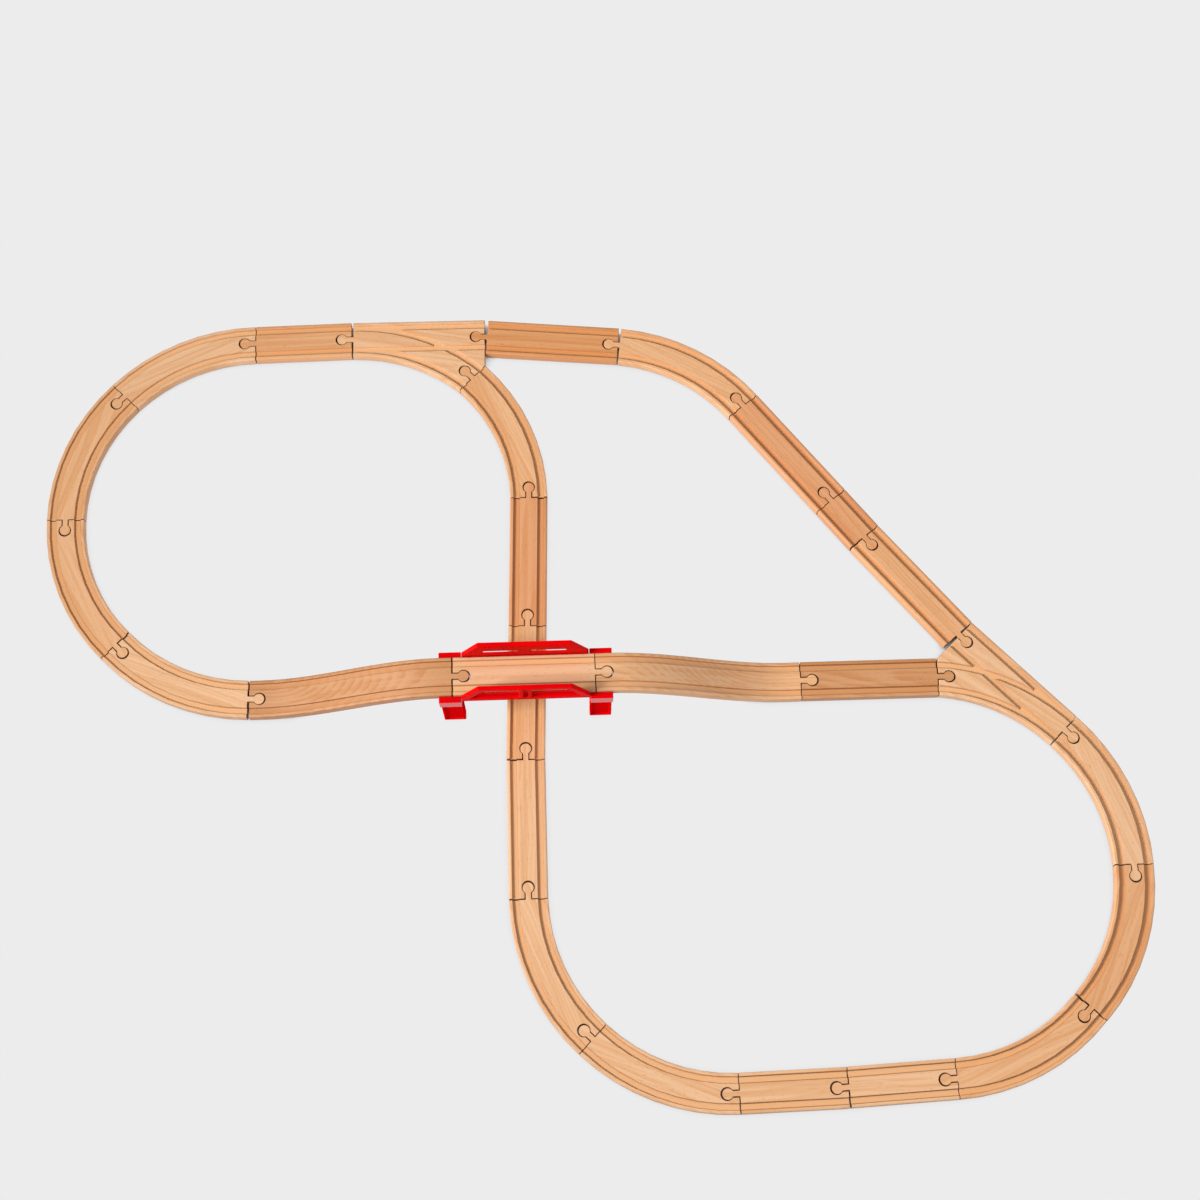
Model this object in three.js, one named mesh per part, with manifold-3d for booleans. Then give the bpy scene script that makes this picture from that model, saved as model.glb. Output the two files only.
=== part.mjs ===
// A wooden toy railway laid on the floor: one long circuit that crosses itself under a red bridge,
// and a by-pass that joins its two switches. Millimetres, +Z up, the floor at z = 0.
import * as THREE from "three";
import { mergeVertices } from "three/addons/utils/BufferGeometryUtils.js";
import Module from "manifold-3d";

// Cross-section of the track
const TRACK_WIDTH = 40;
const TRACK_THICKNESS = 12;
const EDGE_CHAMFER = 1;
const LAND_WIDTH = 20;
const GROOVE_WIDTH = 6;
const GROOVE_DEPTH = 3;
const GROOVE_FLARE = 0.4;

// Peg of one piece, and the play round it in the socket of the next
const PEG_REACH = 12;
const PEG_HEAD = 11.4;
const PEG_NECK = 5.6;
const PEG_SEAT = 0.3;
const SOCKET_PLAY = 0.95;
const END_CLEARANCE = 0.6;
const PULLED_APART = 0.7;

// Lengths of the track pieces, along their middle lines
const CURVE_RADIUS = 200.5;
const LONG_STRAIGHT = 143.5;
const SHORT_STRAIGHT = 105.5;
const CONNECTOR_LENGTH = 53;
const SWITCH_LENGTH = 146;
const RAMP_LENGTH = 215.5;
const RAMP_FLAT = 12;
const DECK_LENGTH = 145;
const BRIDGE_RISE = 64;

// Plastic piers and girders of the bridge
const PLASTIC_PLAY = 0.4;
const BRIDGE_DRIFT = 1.6;
const PIER_LENGTH = 23;
const PIER_OVERLAP = 6.75;
const PIER_CHEEK = 6.3;
const PIER_CHEEK_RISE = 8;
const PIER_HEAD_DEPTH = 9;
const COLUMN_INSET = 0.9;
const COLUMN_SHORTER = 0.2;
const COLUMN_SHIFT = 1.3;
const LEG_THICKNESS = 9;
const PANEL_RIM = 2.4;
const PANEL_DEPTH = 2;
const GIRDER_PLAY = 0.6;
const GIRDER_THICKNESS = 4.5;
const GIRDER_WEB = 1.5;
const GIRDER_RISE = 33;
const GIRDER_SLOPE = 18;
const GIRDER_KERB = 9.5;
const GIRDER_LEDGE = 0.6;
const GIRDER_RIM = 6;
const TOP_CHORD = 17;
const END_POST = 8;
const WINDOW_INSET = 15;
const STRUT_WIDTH = 4;
const STRUT_SPREAD = 6.4;
const GIRDER_SKIRT = 7;
const GIRDER_LIP = 4.5;
const LIP_THICKNESS = 2.5;

// How finely curves are cut into flats
const CURVE_STEPS = 8;
const RAMP_STEPS = 14;
const HEAD_STEPS = 20;
const ARCH_STEPS = 12;

const WOOD = new THREE.MeshStandardMaterial({ color: 0xd9a878, roughness: 0.6, metalness: 0 });
const RED = new THREE.MeshStandardMaterial({ color: 0xd3141a, roughness: 0.35, metalness: 0 });

const EIGHTH_TURN = Math.PI / 4;
const HALF_WIDTH = TRACK_WIDTH / 2;
const SHORTEST = PEG_REACH + PEG_HEAD + PEG_NECK;

// Solids: closed geometry in, joined and cut, closed geometry out
const wasm = await Module();
wasm.setup();

function solidOf(geometry) {
  const bare = geometry.clone();
  bare.deleteAttribute("normal");
  bare.deleteAttribute("uv");
  const merged = mergeVertices(bare, 1e-4);
  const mesh = new wasm.Mesh({
    numProp: 3,
    vertProperties: merged.attributes.position.array,
    triVerts: new Uint32Array(merged.index.array),
  });
  return new wasm.Manifold(mesh);
}

function geometryOf(solid) {
  const mesh = solid.getMesh();
  const geometry = new THREE.BufferGeometry();
  geometry.setAttribute("position", new THREE.BufferAttribute(mesh.vertProperties, 3));
  geometry.setIndex(new THREE.BufferAttribute(mesh.triVerts, 1));
  geometry.computeVertexNormals();
  return geometry;
}

// An outline of [x, y] points, from one height to another
function slab(points, bottom, top) {
  const shape = new THREE.Shape(points.map(([x, y]) => new THREE.Vector2(x, y)));
  const geometry = new THREE.ExtrudeGeometry(shape, { depth: top - bottom, bevelEnabled: false });
  return geometry.translate(0, 0, bottom);
}

// A closed section of [across, up] points carried along stations that each hold a place and two axes
function sweep(section, stations) {
  const positions = [];
  for (const { place, across, up } of stations) {
    for (const [u, w] of section) {
      const point = place.clone().addScaledVector(across, u).addScaledVector(up, w);
      positions.push(point.x, point.y, point.z);
    }
  }
  const count = section.length;
  const last = (stations.length - 1) * count;
  const index = [];
  for (let ring = 0; ring < last; ring += count) {
    for (let k = 0; k < count; k++) {
      const next = (k + 1) % count;
      const corners = [ring + k, ring + next, ring + count + next, ring + count + k];
      index.push(corners[0], corners[1], corners[2], corners[0], corners[2], corners[3]);
    }
  }
  const flat = section.map(([u, w]) => new THREE.Vector2(u, w));
  for (const [a, b, c] of THREE.ShapeUtils.triangulateShape(flat, [])) {
    index.push(a, c, b, last + a, last + b, last + c);
  }
  const geometry = new THREE.BufferGeometry();
  geometry.setAttribute("position", new THREE.Float32BufferAttribute(positions, 3));
  geometry.setIndex(index);
  return geometry;
}

// Paths for sweeps: each runs through the middle of the track's thickness and starts along +X
const UP = new THREE.Vector3(0, 0, 1);
const MIDDLE = TRACK_THICKNESS / 2;

function straightPath(from, to) {
  const across = new THREE.Vector3(0, 1, 0);
  return [from, to].map((x) => ({ place: new THREE.Vector3(x, 0, MIDDLE), across, up: UP }));
}

function curvePath(hand, from, to, steps) {
  const stations = [];
  for (let i = 0; i <= steps; i++) {
    const angle = from + ((to - from) * i) / steps;
    const x = CURVE_RADIUS * Math.sin(angle);
    const y = hand * CURVE_RADIUS * (1 - Math.cos(angle));
    const across = new THREE.Vector3(-hand * Math.sin(angle), Math.cos(angle), 0);
    stations.push({ place: new THREE.Vector3(x, y, MIDDLE), across, up: UP });
  }
  return stations;
}

function rampPath(lowFirst) {
  const across = new THREE.Vector3(0, 1, 0);
  const run = RAMP_LENGTH - 2 * RAMP_FLAT;
  const stations = [];
  for (let i = -1; i <= RAMP_STEPS + 1; i++) {
    const share = THREE.MathUtils.clamp(i / RAMP_STEPS, 0, 1);
    const along = RAMP_FLAT * (1 + Math.sign(i - share * RAMP_STEPS)) + run * share;
    const rise = BRIDGE_RISE * share * share * (3 - 2 * share);
    const slope = (BRIDGE_RISE * 6 * share * (1 - share)) / run;
    const up = new THREE.Vector3(-slope, 0, 1).normalize();
    stations.push({ place: new THREE.Vector3(along, 0, rise + MIDDLE), across, up });
  }
  if (lowFirst) return stations;
  return stations.reverse().map(({ place, up }) => ({
    place: new THREE.Vector3(RAMP_LENGTH - place.x, 0, place.z),
    across,
    up: new THREE.Vector3(-up.x, 0, up.z),
  }));
}

// Section of the track about its middle, with a groove for each wheel on one face or on both
function trackSection(bothFaces) {
  const inner = LAND_WIDTH / 2;
  const outer = inner + GROOVE_WIDTH;
  const side = [
    [HALF_WIDTH, MIDDLE - EDGE_CHAMFER],
    [HALF_WIDTH - EDGE_CHAMFER, MIDDLE],
    [outer + GROOVE_FLARE, MIDDLE],
    [outer, MIDDLE - GROOVE_DEPTH],
    [inner, MIDDLE - GROOVE_DEPTH],
    [inner - GROOVE_FLARE, MIDDLE],
  ];
  const mirrored = side.map(([u, w]) => [-u, w]).reverse();
  const top = [...side, ...mirrored];
  const below = bothFaces ? top : [side[0], side[1], mirrored.at(-2), mirrored.at(-1)];
  return [...top, ...below.map(([u, w]) => [u, -w]).reverse()];
}

// The two wheel grooves of a route as cutters, on the upper face and on the lower one
function grooveCutters(path) {
  const inner = LAND_WIDTH / 2;
  const above = 1 + GROOVE_FLARE / GROOVE_DEPTH;
  const flare = GROOVE_FLARE * above;
  const cutters = [];
  for (const hand of [1, -1]) {
    for (const face of [1, -1]) {
      const deep = face * (MIDDLE - GROOVE_DEPTH);
      const proud = face * (MIDDLE + GROOVE_DEPTH * (above - 1));
      const near = hand * inner;
      const far = hand * (inner + GROOVE_WIDTH);
      const section = [
        [near, deep],
        [far, deep],
        [far + hand * flare, proud],
        [near - hand * flare, proud],
      ];
      cutters.push(solidOf(sweep(hand * face > 0 ? section : section.reverse(), path)));
    }
  }
  return cutters;
}

// Outline of a peg that points along +X from an end face at x = 0, its root reaching back inside
function pegOutline(grow, reach) {
  const radius = PEG_HEAD / 2 + grow;
  const half = PEG_NECK / 2 + grow;
  const open = Math.asin(half / radius);
  const points = [[-1, -half]];
  for (let i = 0; i <= HEAD_STEPS; i++) {
    const angle = open - Math.PI + ((2 * Math.PI - 2 * open) * i) / HEAD_STEPS;
    points.push([reach + radius * Math.cos(angle), radius * Math.sin(angle)]);
  }
  points.push([-1, half]);
  return points;
}

// A peg or a socket for an end face, given that face's matrix with +X pointing out of the piece
const PEG = slab(pegOutline(0, PEG_REACH), 0, TRACK_THICKNESS);

// The gap between the two pieces sets how deep the peg's head lies; it bears on the mouth of the socket
function socketFor(gap) {
  const reach = PEG_REACH - gap + SOCKET_PLAY - PEG_SEAT;
  return slab(pegOutline(SOCKET_PLAY, reach), -1, TRACK_THICKNESS + 1).rotateZ(Math.PI);
}

function withEnd(solid, kind, face, gap) {
  if (kind === "peg") return solid.add(solidOf(PEG.clone().applyMatrix4(face)));
  return solid.subtract(solidOf(socketFor(gap).applyMatrix4(face)));
}

function faceAt(x, y, z, heading) {
  return new THREE.Matrix4().makeRotationZ(heading).setPosition(x, y, z);
}

// Track pieces, each from its first end at the origin along +X, with a peg or a socket at either end
function withEnds(body, { pegs, gaps }, first, last) {
  return withEnd(withEnd(body, pegs[0], first, gaps[0]), pegs[1], last, gaps[1]);
}

function straightPiece(piece) {
  const body = solidOf(sweep(trackSection(true), straightPath(0, piece.length)));
  return withEnds(body, piece, faceAt(0, 0, 0, Math.PI), faceAt(piece.length, 0, 0, 0));
}

function curvePiece(piece) {
  const path = curvePath(piece.hand, 0, EIGHTH_TURN, CURVE_STEPS);
  const body = solidOf(sweep(trackSection(true), path));
  const { x, y } = path.at(-1).place;
  return withEnds(body, piece, faceAt(0, 0, 0, Math.PI), faceAt(x, y, 0, piece.hand * EIGHTH_TURN));
}

function rampPiece(piece) {
  const path = rampPath(piece.lowFirst);
  const body = solidOf(sweep(trackSection(false), path));
  const [start, end] = [path[0].place, path.at(-1).place];
  const first = faceAt(start.x, 0, start.z - MIDDLE, Math.PI);
  return withEnds(body, piece, first, faceAt(end.x, 0, end.z - MIDDLE, 0));
}

// A switch's diverging end: its outer corner stands in the plane of the straight end
const BRANCH_X = SWITCH_LENGTH - HALF_WIDTH * Math.sin(EIGHTH_TURN);
const BRANCH_ANGLE = Math.asin(BRANCH_X / CURVE_RADIUS);
const BRANCH_Y = CURVE_RADIUS * (1 - Math.cos(BRANCH_ANGLE));

function switchPiece(hand, straightGap, branchGap) {
  const offset = HALF_WIDTH * Math.cos(EIGHTH_TURN);
  const outline = [
    [0, HALF_WIDTH],
    [0, -HALF_WIDTH],
    [SWITCH_LENGTH, -HALF_WIDTH],
    [SWITCH_LENGTH, BRANCH_Y - offset],
    [BRANCH_X - offset, BRANCH_Y + offset],
  ];
  const radius = CURVE_RADIUS - HALF_WIDTH;
  for (let i = CURVE_STEPS - 1; i > 0; i--) {
    const angle = (BRANCH_ANGLE * i) / CURVE_STEPS;
    outline.push([radius * Math.sin(angle), CURVE_RADIUS - radius * Math.cos(angle)]);
  }
  const shape = new THREE.Shape(outline.map(([x, y]) => new THREE.Vector2(x, y)));
  const block = new THREE.ExtrudeGeometry(shape, {
    depth: TRACK_THICKNESS - 2 * EDGE_CHAMFER,
    bevelSegments: 1,
    bevelThickness: EDGE_CHAMFER,
    bevelSize: EDGE_CHAMFER,
    bevelOffset: -EDGE_CHAMFER,
  }).translate(0, 0, EDGE_CHAMFER);
  let body = solidOf(block);
  const past = PEG_HEAD / CURVE_RADIUS;
  const routes = [
    straightPath(-PEG_HEAD, SWITCH_LENGTH + PEG_HEAD),
    curvePath(1, -past, EIGHTH_TURN + past, CURVE_STEPS + 2),
  ];
  for (const route of routes) {
    for (const cutter of grooveCutters(route)) body = body.subtract(cutter);
  }
  body = withEnd(body, "peg", faceAt(0, 0, 0, Math.PI));
  body = withEnd(body, "socket", faceAt(SWITCH_LENGTH, 0, 0, 0), straightGap);
  body = withEnd(body, "socket", faceAt(BRANCH_X, BRANCH_Y, 0, EIGHTH_TURN), branchGap);
  return hand > 0 ? body : body.mirror([0, 1, 0]);
}

// Plastic parts of the bridge, in the deck's frame: its first end at the origin, the floor at z = 0
const SEAT = BRIDGE_RISE - PLASTIC_PLAY;
const DECK_TOP = BRIDGE_RISE + TRACK_THICKNESS;
const INNER_FACE = HALF_WIDTH + PLASTIC_PLAY;

// Stands an outline of [across, up] points in the plane across the track and gives it a length along it
function acrossTrack(points, length) {
  const geometry = slab(points, -length / 2, length / 2);
  return geometry.rotateX(Math.PI / 2).rotateZ(Math.PI / 2);
}

// Stands an outline of [along, up] points beside the track, between two distances across it
function alongTrack(points, from, to) {
  return slab(points, -to, -from).rotateX(Math.PI / 2);
}

// The column of a pier stands a little nearer to the deck than its head does
function pierPiece(deckSide) {
  const outer = INNER_FACE + PIER_CHEEK;
  const under = SEAT - PIER_HEAD_DEPTH;
  const head = [
    [-outer, under],
    [outer, under],
    [outer, SEAT + PIER_CHEEK_RISE],
    [INNER_FACE, SEAT + PIER_CHEEK_RISE],
    [INNER_FACE, SEAT],
    [-INNER_FACE, SEAT],
    [-INNER_FACE, SEAT + PIER_CHEEK_RISE],
    [-outer, SEAT + PIER_CHEEK_RISE],
  ];
  const side = outer - COLUMN_INSET;
  const arch = side - LEG_THICKNESS;
  const spring = under - LEG_THICKNESS / 2 - arch;
  const column = [
    [side, 0],
    [side, under],
    [-side, under],
    [-side, 0],
    [-arch, 0],
  ];
  for (let i = 0; i <= ARCH_STEPS; i++) {
    const angle = Math.PI - (Math.PI * i) / ARCH_STEPS;
    column.push([arch * Math.cos(angle), spring + arch * Math.sin(angle)]);
  }
  column.push([arch, 0]);
  const columnLength = PIER_LENGTH - 2 * COLUMN_SHORTER;
  const shift = deckSide * COLUMN_SHIFT;
  const stem = acrossTrack(column, columnLength).translate(shift, 0, 0);
  let body = solidOf(acrossTrack(head, PIER_LENGTH)).add(solidOf(stem));
  const panelLength = columnLength - 2 * PANEL_RIM;
  const panelHeight = under - 2 * PANEL_RIM;
  for (const hand of [1, -1]) {
    const panel = new THREE.BoxGeometry(panelLength, 2 * PANEL_DEPTH, panelHeight);
    panel.translate(shift, hand * side, PANEL_RIM + panelHeight / 2);
    body = body.subtract(solidOf(panel));
  }
  return body;
}

const GIRDER_LENGTH = DECK_LENGTH - 2 * (PIER_OVERLAP + GIRDER_PLAY);

function girderPiece(hand) {
  const half = GIRDER_LENGTH / 2;
  const top = DECK_TOP + GIRDER_RISE;
  const bottom = SEAT - LIP_THICKNESS;
  const ledge = DECK_TOP - GIRDER_LEDGE;
  const rim = top - GIRDER_RIM;
  const outline = [
    [-half, bottom],
    [half, bottom],
    [half, DECK_TOP],
    [half - GIRDER_SLOPE, top],
    [GIRDER_SLOPE - half, top],
    [-half, DECK_TOP],
  ];
  const slopeAt = (z) => half - (GIRDER_SLOPE * (z - DECK_TOP)) / GIRDER_RISE;
  const bay = (low, high, post) => [
    [STRUT_SPREAD, low],
    [slopeAt(low) - post, low],
    [slopeAt(high) - post, high],
    [STRUT_SPREAD, high],
  ];
  const flipped = (points) => points.map(([x, z]) => [-x, z]);
  const pocket = bay(ledge, rim, END_POST);
  const window = bay(DECK_TOP + GIRDER_KERB, top - TOP_CHORD, WINDOW_INSET);
  const strut = STRUT_SPREAD - STRUT_WIDTH;
  const slot = [
    [-strut, ledge],
    [strut, ledge],
    [strut, rim],
    [-strut, rim],
  ];
  const inner = hand * INNER_FACE;
  const web = inner + hand * GIRDER_WEB;
  const outer = inner + hand * GIRDER_THICKNESS;
  const plate = (points, from, to) => {
    return solidOf(alongTrack(points, Math.min(from, to), Math.max(from, to)));
  };
  let body = plate(outline, inner, outer);
  for (const hollow of [pocket, flipped(pocket), slot]) {
    body = body.subtract(plate(hollow, web, outer + hand));
  }
  for (const hole of [window, flipped(window)]) {
    body = body.subtract(plate(hole, inner - hand, (web + outer) / 2));
  }
  const lip = new THREE.BoxGeometry(GIRDER_LENGTH, GIRDER_LIP + 1, LIP_THICKNESS);
  lip.translate(0, hand * (INNER_FACE + 1 - (GIRDER_LIP + 1) / 2), bottom + LIP_THICKNESS / 2);
  body = body.add(solidOf(lip));
  const skirt = DECK_TOP - GIRDER_SKIRT;
  const wedge = [
    [outer + hand, skirt],
    [outer, skirt],
    [inner, bottom],
    [inner, bottom - 1],
    [outer + hand, bottom - 1],
  ];
  return body.subtract(solidOf(acrossTrack(wedge, GIRDER_LENGTH + 2)));
}

// Places on the floor: a point and a heading
const AHEAD = { x: 0, y: 0, heading: 0 };

function moved(at, along, across = 0) {
  const [c, s] = [Math.cos(at.heading), Math.sin(at.heading)];
  return { ...at, x: at.x + along * c - across * s, y: at.y + along * s + across * c };
}

function turned(at, angle) {
  return { ...at, heading: at.heading + angle };
}

// Where a piece's last end lies, from where its first end does
const ENDS = {
  straight: (at, piece) => moved(at, piece.length),
  curve: (at, piece) => {
    const x = CURVE_RADIUS * Math.sin(EIGHTH_TURN);
    const y = piece.hand * CURVE_RADIUS * (1 - Math.cos(EIGHTH_TURN));
    return turned(moved(at, x, y), piece.hand * EIGHTH_TURN);
  },
  ramp: (at) => moved(at, RAMP_LENGTH),
  // A switch is passed from its diverging end to its common end
  switch: (at, piece) => {
    const leaving = turned(at, piece.hand * EIGHTH_TURN);
    return moved(leaving, BRANCH_X, -piece.hand * BRANCH_Y);
  },
};

// The gap between two pieces at the middle of the track: their nearest corners just clear
function gapOf(bend, apart = 0) {
  return END_CLEARANCE + apart + HALF_WIDTH * Math.tan(Math.abs(bend));
}

// The next piece's first end: pieces swing about the middle of the peg
function joined(at, bend, gap, pegBehind) {
  const pivot = ((pegBehind ? 1 : -1) * PEG_REACH) / 2;
  return moved(turned(moved(at, pivot), bend), gap - pivot);
}

function bendBetween(from, to) {
  const bend = to.heading - from.heading;
  return Math.atan2(Math.sin(bend), Math.cos(bend));
}

// Runs of track. Each piece's bend is the angle, in degrees, that its joint with the last piece takes up
const straight = (name, bend, length) => ({ kind: "straight", name, bend, length });
const curve = (name, bend, hand) => ({ kind: "curve", name, bend, hand });
const ramp = (name, bend, lowFirst) => ({ kind: "ramp", name, bend, lowFirst });
const junction = (name, bend, hand) => ({ kind: "switch", name, bend, hand });

const LEFT = 1;
const RIGHT = -1;

// The main circuit, from the straight under the bridge. The column and south lengths make it close
function mainRun(column, south) {
  return [
    { ...straight("straight_under_bridge", 0, column), leads: true },
    straight("straight_north_of_bridge", 0.2, column),
    curve("curve_centre", 1.7, LEFT),
    junction("switch_west", -0.2, LEFT),
    { ...straight("straight_north_west", 1.2, SHORT_STRAIGHT), apart: PULLED_APART },
    curve("curve_west_1", -0.7, LEFT),
    curve("curve_west_2", 0, LEFT),
    curve("curve_west_3", -0.3, LEFT),
    curve("curve_west_4", -1.5, LEFT),
    { ...ramp("ramp_west", 1.6, true), apart: PULLED_APART },
    { ...straight("bridge_deck", 0, DECK_LENGTH), raised: true, apart: PULLED_APART },
    ramp("ramp_east", 0.6, false),
    straight("straight_east", -0.7, LONG_STRAIGHT),
    junction("switch_east", -1.4, RIGHT),
    curve("curve_east_1", 0.7, RIGHT),
    curve("curve_east_2", 0.8, RIGHT),
    curve("curve_east_3", 2.4, RIGHT),
    straight("straight_south_1", 0.2, south),
    straight("straight_south_2", -1.4, south),
    curve("curve_south_1", -0.6, RIGHT),
    curve("curve_south_2", 0.2, RIGHT),
    straight("straight_south_of_bridge", -1, column),
  ];
}

// The by-pass, from the straight end of the west switch. Its first and its slanting lengths make it close
function bypassRun(first, slanting) {
  return [
    { ...straight("bypass_straight_1", -5.1, first), pegs: ["peg", "socket"] },
    { ...curve("bypass_curve", -2.1, RIGHT), pegs: ["peg", "socket"], apart: PULLED_APART },
    { ...straight("bypass_straight_2", 0.5, slanting), pegs: ["peg", "socket"] },
    { ...straight("bypass_connector", -0.2, CONNECTOR_LENGTH), pegs: ["peg", "peg"] },
    { ...straight("bypass_straight_3", 1.5, slanting), pegs: ["socket", "peg"] },
  ];
}

// Lays a run end to end. Pieces have a socket first and a peg last unless they say otherwise
function laid(run, start) {
  let at = start;
  const pieces = run.map((piece) => {
    const pegs = piece.pegs ?? ["socket", "peg"];
    const bend = THREE.MathUtils.degToRad(piece.bend);
    const gap = gapOf(bend, piece.apart);
    if (!piece.leads) at = joined(at, bend, gap, pegs[0] === "socket");
    const first = at;
    at = ENDS[piece.kind](at, piece);
    return { ...piece, pegs, gap, first, last: at };
  });
  return { pieces, end: at };
}

// A laid run's pieces, each with the gaps at its two ends
function withGaps({ pieces, end }, wanted) {
  const closing = gapOf(bendBetween(end, wanted));
  return pieces.map((piece, k) => {
    const gaps = [piece.leads ? closing : piece.gap, pieces[k + 1]?.gap ?? closing];
    return { ...piece, gaps };
  });
}

// The two lengths that bring the end of a run to a wanted place, which moves evenly with each of them
function closingLengths(runOf, start, wanted) {
  const miss = (a, b) => {
    const { end } = laid(runOf(a, b), start);
    const bend = bendBetween(end, wanted);
    const reached = joined(end, bend, gapOf(bend), true);
    return [wanted.x - reached.x, wanted.y - reached.y];
  };
  const [x0, y0] = miss(0, 0);
  const [xa, ya] = miss(1, 0).map((value, k) => value - [x0, y0][k]);
  const [xb, yb] = miss(0, 1).map((value, k) => value - [x0, y0][k]);
  const area = xa * yb - xb * ya;
  const lengths = [(xb * y0 - x0 * yb) / area, (x0 * ya - xa * y0) / area];
  if (Math.min(...lengths) < SHORTEST) throw new Error("the track can't close: a straight is too short");
  return lengths;
}

const START = { ...AHEAD, heading: Math.PI / 2 };
const mainLengths = closingLengths(mainRun, START, START);
const mainTrack = withGaps(laid(mainRun(...mainLengths), START), START);
const find = (name) => mainTrack.find((piece) => piece.name === name);

// A switch's place is its common end, looking along its straight route
const switchPlace = (name) => turned(find(name).last, Math.PI);
const bypassStart = moved(switchPlace("switch_west"), SWITCH_LENGTH);
const bypassEnd = turned(moved(switchPlace("switch_east"), SWITCH_LENGTH), Math.PI);
const bypassLengths = closingLengths(bypassRun, bypassStart, bypassEnd);
const bypassTrack = withGaps(laid(bypassRun(...bypassLengths), bypassStart), bypassEnd);
const straightGaps = { switch_west: bypassTrack[0].gaps[0], switch_east: bypassTrack.at(-1).gaps[1] };

// Every piece as a named mesh in its place
const layout = new THREE.Group();
layout.name = "wooden_train_track";

function put(name, solid, material, at, height = 0) {
  const mesh = new THREE.Mesh(geometryOf(solid), material);
  mesh.name = name;
  mesh.position.set(at.x, at.y, height);
  mesh.rotation.z = at.heading;
  layout.add(mesh);
}

const MAKERS = {
  straight: straightPiece,
  curve: curvePiece,
  ramp: rampPiece,
  switch: ({ name, hand, gaps }) => switchPiece(-hand, straightGaps[name], gaps[0]),
};

for (const piece of [...mainTrack, ...bypassTrack]) {
  const place = piece.kind === "switch" ? turned(piece.last, Math.PI) : piece.first;
  put(piece.name, MAKERS[piece.kind](piece), WOOD, place, piece.raised ? BRIDGE_RISE : 0);
}

const deckStart = find("bridge_deck").first;
const pierShift = PIER_LENGTH / 2 - PIER_OVERLAP;
put("bridge_pier_west", pierPiece(1), RED, moved(deckStart, BRIDGE_DRIFT - pierShift));
put("bridge_pier_east", pierPiece(-1), RED, moved(deckStart, BRIDGE_DRIFT + DECK_LENGTH + pierShift));
put("bridge_girder_north", girderPiece(1), RED, moved(deckStart, BRIDGE_DRIFT + DECK_LENGTH / 2));
put("bridge_girder_south", girderPiece(-1), RED, moved(deckStart, BRIDGE_DRIFT + DECK_LENGTH / 2));

// The layout's origin is the middle of its box, on the floor
layout.updateMatrixWorld(true);
const middle = new THREE.Box3().setFromObject(layout, true).getCenter(new THREE.Vector3());
for (const mesh of layout.children) {
  mesh.position.x -= middle.x;
  mesh.position.y -= middle.y;
}

export default layout;
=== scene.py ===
import math
import random

import bpy
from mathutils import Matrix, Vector


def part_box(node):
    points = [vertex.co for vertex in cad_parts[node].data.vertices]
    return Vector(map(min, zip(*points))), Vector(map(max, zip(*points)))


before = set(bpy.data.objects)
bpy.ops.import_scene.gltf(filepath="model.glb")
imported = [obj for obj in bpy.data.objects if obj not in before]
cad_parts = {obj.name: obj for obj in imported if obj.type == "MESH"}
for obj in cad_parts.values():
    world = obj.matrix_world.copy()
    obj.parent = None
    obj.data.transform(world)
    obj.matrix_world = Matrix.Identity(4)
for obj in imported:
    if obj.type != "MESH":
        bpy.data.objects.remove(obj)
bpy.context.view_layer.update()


# Straight tracks.
# Planed beech boards with two wheel grooves routed in each face. One end keeps a round-headed peg,
# the other has the socket for the next one, and the sanded edges are sealed with a thin lacquer.
class Wire:
    """One socket of a finish. Sums and products of wires add Math nodes to the same finish."""

    def __init__(self, tree, socket=None):
        self.tree = tree
        self.socket = socket

    def node(self, kind, settings, sockets, out=0):
        """Any node. Its settings are set first, then its sockets get their values or links."""
        made = self.tree.nodes.new(kind)
        for name, value in settings.items():
            setattr(made, name, value)
        for name, value in sockets.items():
            if isinstance(value, Wire):
                self.tree.links.new(value.socket, made.inputs[name])
            else:
                made.inputs[name].default_value = value
        return Wire(self.tree, made.outputs[out] if made.outputs else None)

    def other(self, out):
        """Another outlet of the node that this wire comes from."""
        return Wire(self.tree, self.socket.node.outputs[out])

    def maths(self, operation, *terms):
        return self.node("ShaderNodeMath", {"operation": operation}, dict(enumerate(terms)))

    def __add__(self, other):
        return self.maths("ADD", self, other)

    def __radd__(self, other):
        return self.maths("ADD", other, self)

    def __sub__(self, other):
        return self.maths("SUBTRACT", self, other)

    def __rsub__(self, other):
        return self.maths("SUBTRACT", other, self)

    def __mul__(self, other):
        return self.maths("MULTIPLY", self, other)

    def __rmul__(self, other):
        return self.maths("MULTIPLY", other, self)

    def __abs__(self):
        return self.maths("ABSOLUTE", self)

    def between(self, low, high):
        """A mask that rises smoothly from 0 at the low value to 1 at the high one."""
        ends = {"Value": self, "From Min": low, "From Max": high}
        return self.node("ShaderNodeMapRange", {"interpolation_type": "SMOOTHSTEP"}, ends)

    def stretched(self, *factors):
        return self.node("ShaderNodeVectorMath", {"operation": "MULTIPLY"}, {0: self, 1: factors})

    def noise(self, seed, detail=2.0):
        values = {"Vector": self, "W": seed, "Scale": 1.0, "Detail": detail}
        return self.node("ShaderNodeTexNoise", {"noise_dimensions": "4D"}, values)

    def mix(self, first, second, amount):
        """A colour between two others, by an amount that may vary."""
        values = {0: amount, 6: first, 7: second}
        return self.node("ShaderNodeMix", {"data_type": "RGBA"}, values, 2)

    def dyed(self, colour, amount):
        return self.mix(self, colour, amount)


def new_finish(name):
    finish = bpy.data.materials.new(name)
    finish.use_nodes = True
    finish.node_tree.nodes.clear()
    return finish, Wire(finish.node_tree)


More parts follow.
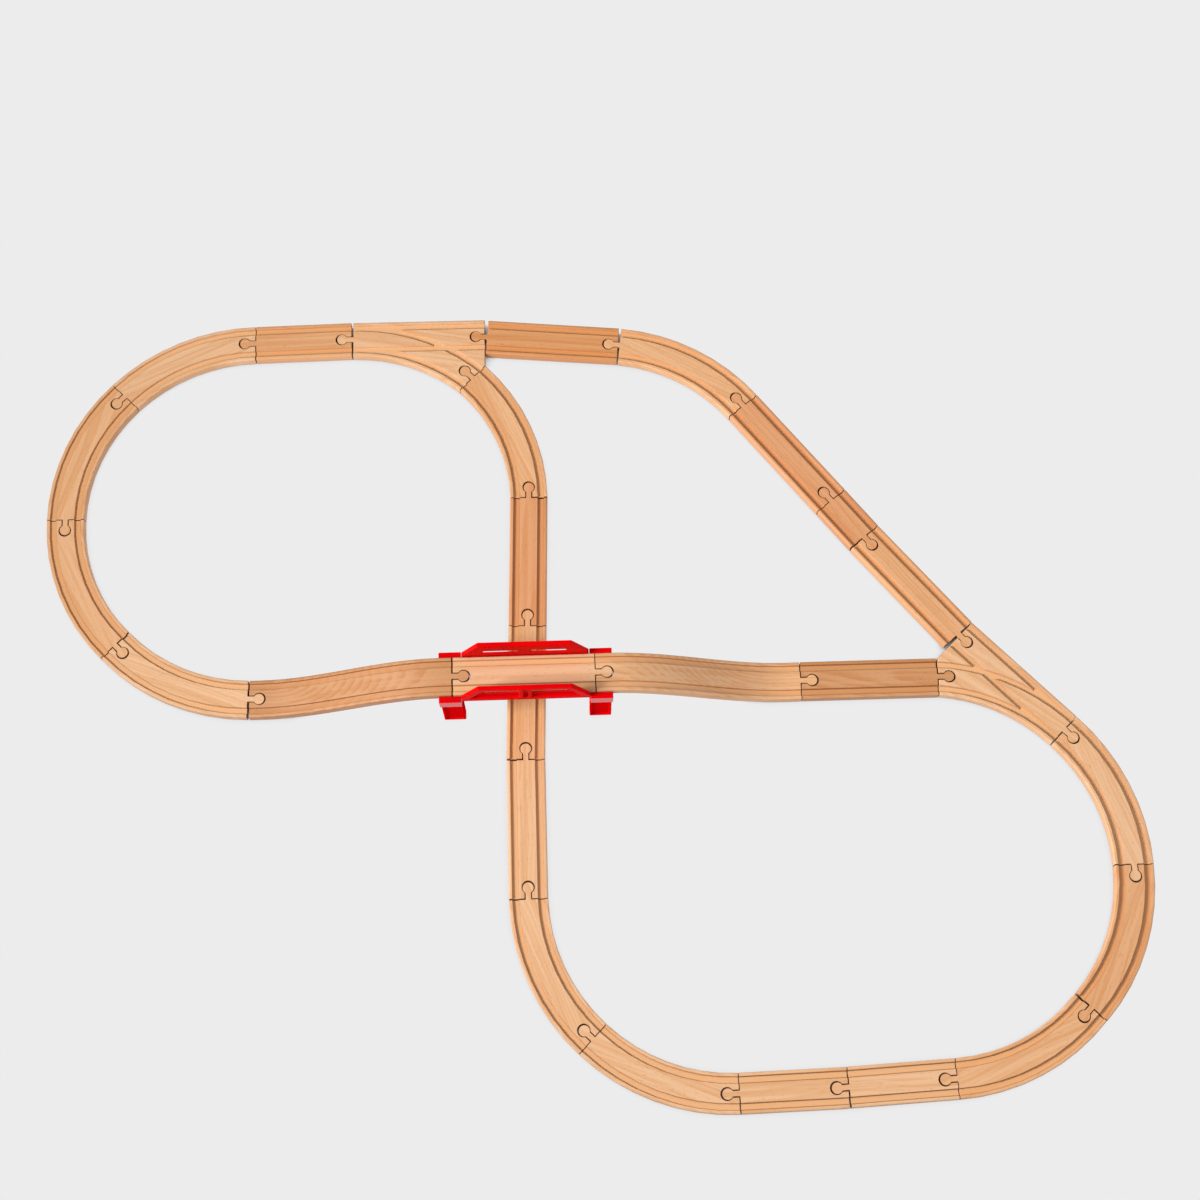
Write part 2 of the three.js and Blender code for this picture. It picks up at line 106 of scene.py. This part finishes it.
def coat(piece, finish, start, sockets):
    """Ends a finish in one shader and puts it on a piece."""
    shader = start.node("ShaderNodeBsdfPrincipled", {}, sockets)
    start.node("ShaderNodeOutputMaterial", {}, {"Surface": shader})
    piece.data.materials.clear()
    piece.data.materials.append(finish)


MM = 0.001
SANDED_EDGE = 0.4 * MM


def sand(piece, radius, rounds, board=True):
    """Rounds the sharp edges of a piece, as sanding or a mould does.

    The flats of a board become one face each, and its sawn chamfers stay as they are.
    """
    joined = piece.modifiers.new("joined faces", "WELD")
    joined.merge_threshold = 0.002 * MM
    if board:
        flat = piece.modifiers.new("flat faces", "DECIMATE")
        flat.decimate_type = "DISSOLVE"
        flat.angle_limit = math.radians(0.6)
    edges = piece.modifiers.new("rounded edges", "BEVEL")
    edges.width = radius
    edges.segments = rounds
    edges.limit_method = "ANGLE"
    edges.angle_limit = math.radians(60 if board else 24)
    edges.use_clamp_overlap = False
    edges.miter_outer = "MITER_ARC"
    shade = piece.modifiers.new("even shading", "WEIGHTED_NORMAL")
    shade.keep_sharp = False
    shade.weight = 60


def lie(piece):
    """The middle of a piece and the direction of its length on the floor."""
    points = [vertex.co for vertex in piece.data.vertices]
    middle = sum(points, Vector()) / len(points)
    xx = sum((p.x - middle.x) ** 2 for p in points)
    yy = sum((p.y - middle.y) ** 2 for p in points)
    xy = sum((p.x - middle.x) * (p.y - middle.y) for p in points)
    return middle, 0.5 * math.atan2(2 * xy, xx - yy)


def stained(wood, red, green, blue):
    return (wood[0] * red, wood[1] * green, wood[2] * blue, 1)


GROOVE_FLOOR = 9 * MM
GROOVE_NEAR_MM = 10  # from the middle line to the near and far side of a groove
GROOVE_FAR_MM = 16
PITH_WANDER_MM = 16
PITH_ASKEW = 0.03
BEECH = {
    "pale": (0.672, 0.397, 0.219),
    "honey": (0.657, 0.363, 0.184),
    "amber": (0.628, 0.327, 0.157),
    "tan": (0.600, 0.284, 0.130),
    "rosy": (0.575, 0.264, 0.106),
    "umber": (0.520, 0.258, 0.118),
}


def beech(name, tone, sawn, lean=0.0, ring=4.0, figure=0.5, painted_shade=0.4, groove=GROOVE_FLOOR):
    """Lacquered beech of one board.

    Sawn is how far the board was cut from the pith, in mm across and down, and lean is how far
    askew the pith runs. Ring is one year's growth in mm, and figure is how strongly the years
    show. One more argument sets how strongly painted shade darkens the groove walls, the rims and
    the sawn sides, and groove is the height of the groove floors in metres, or None on a slope.
    """
    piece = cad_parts[name]
    chance = random.Random(name)
    seed = chance.uniform(0, 90)
    middle, heading = lie(piece)
    finish, start = new_finish("beech_" + name)
    place = start.node("ShaderNodeTexCoord", {}, {}, "Object")
    turn = {"Location": middle, "Rotation": (0, 0, heading), "Scale": (MM, MM, MM)}
    board = start.node("ShaderNodeMapping", {"vector_type": "TEXTURE"}, {"Vector": place, **turn})

    # Growth rings about a pith that lies outside the board, wanders and runs a little askew to it.
    # Each noise is drawn out by its steps per mm along, across and down the board.
    wander = board.stretched(0.011, 0.045, 0.012).noise(seed)
    fibre = board.stretched(0.015, 0.60, 0.20).noise(seed + 3, 3.0)
    band = board.stretched(0.005, 0.19, 0.04).noise(seed + 7, 1.0)
    along = start.node("ShaderNodeSeparateXYZ", {}, {0: board})
    aside = along.other("Y")
    slant = lean + chance.uniform(-PITH_ASKEW, PITH_ASKEW)
    across = aside + along * slant + (wander - 0.5) * PITH_WANDER_MM - sawn[0]
    down = along.other("Z") + along * chance.uniform(-PITH_ASKEW, PITH_ASKEW) - sawn[1]
    radius = across.maths("SQRT", across * across + down * down)
    years_per_mm = 1 / (ring * chance.uniform(0.85, 1.15))
    age = radius * years_per_mm + fibre * 0.12 + band * 0.3
    year = age.maths("FRACT", age)
    late = year.between(0.2, 0.9) * (1 - year.between(0.9, 1.0))

    # Short dark ray flecks that lie along the grain, and end grain where the saw cut across.
    fleck = board.stretched(0.18, 1.2, 0.6).noise(seed + 11, 1.0).between(0.61, 0.73)
    facing = start.node("ShaderNodeTexCoord", {}, {}, "Normal")
    compared = {0: facing, 1: (math.cos(heading), math.sin(heading), 0)}
    end_on = start.node("ShaderNodeVectorMath", {"operation": "DOT_PRODUCT"}, compared, "Value")
    end_grain = abs(end_on).between(0.55, 0.95)

    wood = BEECH[tone]
    amber = stained(wood, 0.88, 0.74, 0.58)
    brown = stained(wood, 0.66, 0.50, 0.36)
    cream = stained(wood, 1.04, 1.09, 1.16)
    colour = start.mix((*wood, 1), amber, late * figure)
    colour = colour.dyed(cream, band.between(0.48, 0.66) * 0.7)
    streak = (1 - band.between(0.36, 0.50)) * 0.45 + fibre.between(0.50, 0.75) * 0.35
    colour = colour.dyed(amber, streak)
    colour = colour.dyed(brown, fleck * 0.45)

    # Painted light and shade: the groove floors are painted more orange and a little lighter,
    # standing in for light bounced inside the groove, and the slanting groove walls, the rims and
    # the upright sides are painted darker as shade. The end grain soaks up the most lacquer.
    facet = start.node("ShaderNodeNewGeometry", {}, {}, "True Normal")
    upward = start.node("ShaderNodeSeparateXYZ", {}, {0: facet}).other("Z")
    painted_shade_lines = upward.between(0.04, 0.10) * (1 - upward.between(0.50, 0.66))
    if groove:
        height = start.node("ShaderNodeSeparateXYZ", {}, {0: place}).other("Z")
        cut = height.between(groove - 0.9 * MM, groove - 0.2 * MM)
        cut = cut * (1 - height.between(groove + 0.5 * MM, groove + 1.6 * MM))
        # The rims of the grooves get painted shade as well.
        rims = upward.between(0.80, 0.88) * (1 - upward.between(0.95, 0.985))
        painted_shade_lines = painted_shade_lines + rims * 0.8
    else:
        off_middle = abs(aside)
        cut = off_middle.between(GROOVE_NEAR_MM - 0.3, GROOVE_NEAR_MM + 0.3) * 0.6
        cut = cut * (1 - off_middle.between(GROOVE_FAR_MM - 0.3, GROOVE_FAR_MM + 0.3))
    upright = 1 - abs(upward).between(0.02, 0.05)
    painted_bounce_orange = stained(wood, 1.05, 0.97, 0.82)
    shade_and_end_grain_brown = stained(wood, 0.40, 0.26, 0.16)
    # Painted bounce light: the groove floors turn more orange and a little lighter, offsetting
    # their shade.
    colour = colour.dyed(painted_bounce_orange, cut * upward.between(0.3, 0.8) * 0.9)
    # Painted shade: the groove walls, the rims and the upright sides are darkened towards a shade
    # brown.
    colour = colour.dyed(shade_and_end_grain_brown, painted_shade_lines * painted_shade)
    colour = colour.dyed(shade_and_end_grain_brown, upright * painted_shade * 0.5)
    colour = colour.dyed(shade_and_end_grain_brown, end_grain * 0.8)

    grain = fibre * 0.6 + late * 0.25 - fleck * 0.4
    relief = {"Strength": 0.25, "Distance": 0.4 * MM, "Height": grain}
    coat(piece, finish, start, {
        "Base Color": colour,
        "Roughness": 0.38 + fibre * 0.14 + end_grain * 0.15,
        "Normal": start.node("ShaderNodeBump", {}, relief),
        "Specular IOR Level": 0.32,
    })
    sand(piece, SANDED_EDGE, 2)


beech("straight_north_west", "amber", (-40, -25), painted_shade=0.1)
beech("straight_north_of_bridge", "tan", (12, -46))
beech("straight_under_bridge", "honey", (35, 20))
beech("straight_south_of_bridge", "pale", (-52, -30))
beech("straight_east", "umber", (6, -30), lean=0.12, ring=2.6, figure=0.9, painted_shade=0.6)
beech("straight_south_1", "pale", (44, -12), painted_shade=0.7)
beech("straight_south_2", "pale", (-20, -48), painted_shade=0.7)
beech("bypass_straight_1", "rosy", (30, -35), painted_shade=0.1)
beech("bypass_straight_2", "tan", (-44, 8), painted_shade=0.2)
beech("bypass_connector", "tan", (22, -40))
beech("bypass_straight_3", "amber", (-36, -22), painted_shade=0.2)


# Curves.
# Beech boards bandsawn to an eighth of a circle and routed like the straights. The grain stays
# straight, along the chord, so its lines run out at the curved edges.
beech("curve_west_1", "pale", (-60, -24), painted_shade=0.3)
beech("curve_west_2", "honey", (48, -36), painted_shade=0.5)
beech("curve_west_3", "honey", (-30, -52))
beech("curve_west_4", "pale", (66, -10))
beech("curve_centre", "honey", (-48, -30))
beech("bypass_curve", "honey", (54, 14), painted_shade=0.2)
beech("curve_east_1", "pale", (-62, 18))
beech("curve_east_2", "amber", (40, -44))
beech("curve_east_3", "honey", (-56, -26))
beech("curve_south_1", "pale", (50, -34))
beech("curve_south_2", "pale", (-70, -12))


# Switches.
# One wider beech board each, with a straight way and a curved way that share a peg end. The
# grooves of the two ways cross and leave a small pointed island of wood between them.
beech("switch_west", "pale", (-34, -50), painted_shade=0.1)
beech("switch_east", "pale", (38, -42))


# Ramps.
# Beech boards sawn to a gentle S from a thick block and routed along the slope. The saw cuts
# through the growth rings at a slant, so long pointed arches of grain show on the sloping face.
beech("ramp_west", "umber", (15, -34), lean=0.06, ring=4.4, figure=0.9, groove=None)
beech("ramp_east", "honey", (36, -42), ring=3.2, figure=0.9, groove=None)


# Bridge piers.
# Legs of glossy red injection-moulded plastic, with an arch through the column and every edge
# filleted. Two cheeks on the head hold the ends of a ramp and of the deck, which lie loose on it.
MOULDED_EDGE = 0.7 * MM
PIER_HEAD = 55 * MM
PIER_GLOSS = 0.9
RED = (0.69, 0.001, 0.002, 1)
DARK_RED = (0.62, 0.001, 0.003, 1)
SCUFFED_RED = (0.70, 0.02, 0.02, 1)


def red_plastic(name, polished, gloss):
    """Moulded plastic, dull, with a polished skin on its sides above one height, in metres."""
    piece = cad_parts[name]
    finish, start = new_finish("red_plastic_" + name)
    place = start.node("ShaderNodeTexCoord", {}, {}, "Object")
    flow = place.stretched(26, 26, 26).noise(4.0)
    skin = place.stretched(900, 900, 900).noise(9.0, 3.0)
    scuff = place.stretched(160, 420, 160).noise(15.0, 5.0).between(0.62, 0.80)
    height = start.node("ShaderNodeSeparateXYZ", {}, {0: place}).other("Z")
    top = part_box(name)[1][2]
    polish = height.between(polished - 0.4 * MM, polished + 0.4 * MM)
    polish = polish * (1 - height.between(top - 0.8 * MM, top - 0.2 * MM))
    colour = start.mix(DARK_RED, RED, flow.between(0.35, 0.65))
    relief = {"Strength": 0.12, "Distance": 0.2 * MM, "Height": skin}
    coat(piece, finish, start, {
        "Base Color": colour.dyed(SCUFFED_RED, scuff * 0.15),
        "Roughness": 0.42 + skin * 0.08 + scuff * 0.12 - polish * 0.12,
        "Normal": start.node("ShaderNodeBump", {}, relief),
        "Coat Weight": polish * gloss,
        "Coat Roughness": 0.16,
        "Specular IOR Level": 0.0,
    })
    sand(piece, MOULDED_EDGE, 3, board=False)


red_plastic("bridge_pier_west", PIER_HEAD, PIER_GLOSS)
red_plastic("bridge_pier_east", PIER_HEAD, PIER_GLOSS)


# Bridge deck.
# A flat beech straight like those on the floor, with the same peg, socket and grooves. It lies on
# the seats of both piers, and the two red girders hook under its sides.
DECK_GROOVE_FLOOR = 73 * MM
beech("bridge_deck", "pale", (8, -56), groove=DECK_GROOVE_FLOOR)


# Bridge girders.
# Two open plates of the same red plastic, each moulded with sloping ends, two windows and a pair of
# struts between them. They hook under the deck and stand beside it between the piers.
GIRDER_FOOT = 60 * MM
GIRDER_GLOSS = 0.1
red_plastic("bridge_girder_north", GIRDER_FOOT, GIRDER_GLOSS)
red_plastic("bridge_girder_south", GIRDER_FOOT, GIRDER_GLOSS)


# Floor, light and camera.
# A plain pale floor with a low round wall of the same far behind, a soft lamp from the west, a weak
# one from the east and an even white room. The camera looks down from the south.
FLOOR_PALE = (0.845, 0.838, 0.847, 1)
# The colour of the painted shade on the floor.
FLOOR_PAINTED_SHADE = (0.02, 0.014, 0.01, 1)
FLOOR_SIZE = 16
WALL_RADIUS = 5.9
WALL_HEIGHT = 2
WALL_MIDDLE = (0, 0, 1.05)

# The floor glows evenly, with painted shade where pieces stand on it and a painted shadow in a long
# oval under the bridge.
finish, start = new_finish("pale_floor")
ground = start.node("ShaderNodeTexCoord", {}, {}, "Object")
oval = {"Location": (-0.055, 0.0215, 0), "Rotation": (0, 0, 0.03), "Scale": (0.16, 0.019, 1)}
oval = start.node("ShaderNodeMapping", {"vector_type": "TEXTURE"}, {"Vector": ground, **oval})
from_bridge = start.node("ShaderNodeVectorMath", {"operation": "LENGTH"}, {0: oval}, "Value")
# Painted shade: darker close to the pieces, and a painted shadow under the bridge.
clear_of_painted_shade = start.node("ShaderNodeAmbientOcclusion", {"samples": 8}, {"Distance": 14 * MM}, "AO")
clear_of_painted_shade = clear_of_painted_shade * (0.3 + from_bridge.between(0.35, 1.0) * 0.7)
sheet = start.mix(FLOOR_PAINTED_SHADE, FLOOR_PALE, clear_of_painted_shade.between(0.0, 0.62))
glow = start.node("ShaderNodeEmission", {}, {"Color": sheet})
start.node("ShaderNodeOutputMaterial", {}, {"Surface": glow})

bpy.ops.mesh.primitive_plane_add(size=FLOOR_SIZE)
floor = bpy.context.object
floor.name = "floor"
floor.data.materials.append(finish)
bpy.ops.mesh.primitive_cylinder_add(
    vertices=96, radius=WALL_RADIUS, depth=WALL_HEIGHT, location=WALL_MIDDLE,
    end_fill_type="NOTHING")
wall = bpy.context.object
wall.name = "wall"
wall.data.materials.append(finish)

world = bpy.data.worlds.new("white_room")
bpy.context.scene.world = world
world.use_nodes = True
world.node_tree.nodes.clear()
room = Wire(world.node_tree)
sky = room.node("ShaderNodeBackground", {}, {"Color": (1, 1, 1, 1), "Strength": 0.34})
room.node("ShaderNodeOutputWorld", {}, {"Surface": sky})


def aimed(name, data, place, direction):
    """A lamp or camera at a place, with its face in a direction."""
    stand = bpy.data.objects.new(name, data)
    stand.location = place
    stand.rotation_euler = Vector(direction).to_track_quat("-Z", "Y").to_euler()
    bpy.context.scene.collection.objects.link(stand)
    return stand


def soft_lamp(name, place, aim, size, strength):
    """A square lamp that is as strong far off as near."""
    lamp = bpy.data.lights.new(name, "AREA")
    lamp.shape = "RECTANGLE"
    lamp.size = size
    lamp.size_y = size
    lamp.energy = 1
    lamp.use_nodes = True
    lamp.node_tree.nodes.clear()
    bulb = Wire(lamp.node_tree)
    even = bulb.node("ShaderNodeLightFalloff", {}, {"Strength": strength}, "Constant")
    shine = bulb.node("ShaderNodeEmission", {}, {"Strength": even})
    bulb.node("ShaderNodeOutputLight", {}, {"Surface": shine})
    aimed(name, lamp, place, Vector(aim) - Vector(place))


soft_lamp("lamp_west", place=(-1.05, -0.35, 1.0), aim=(-0.05, -0.05, 0.9), size=0.5, strength=16)
soft_lamp("lamp_east", place=(1.4, 0.1, 1.0), aim=(0.0, 0.0, 0.5), size=0.6, strength=2)

camera = bpy.data.cameras.new("camera")
camera.sensor_width = 36
camera.lens = 61.14
tripod = aimed(
    "camera", camera, place=(0.0032, -0.5628, 2.0747), direction=(0.0050, 0.3068, -0.9518))
tripod.rotation_euler.rotate_axis("Z", math.radians(1.1))
bpy.context.scene.camera = tripod
bpy.context.scene.view_settings.view_transform = "Standard"
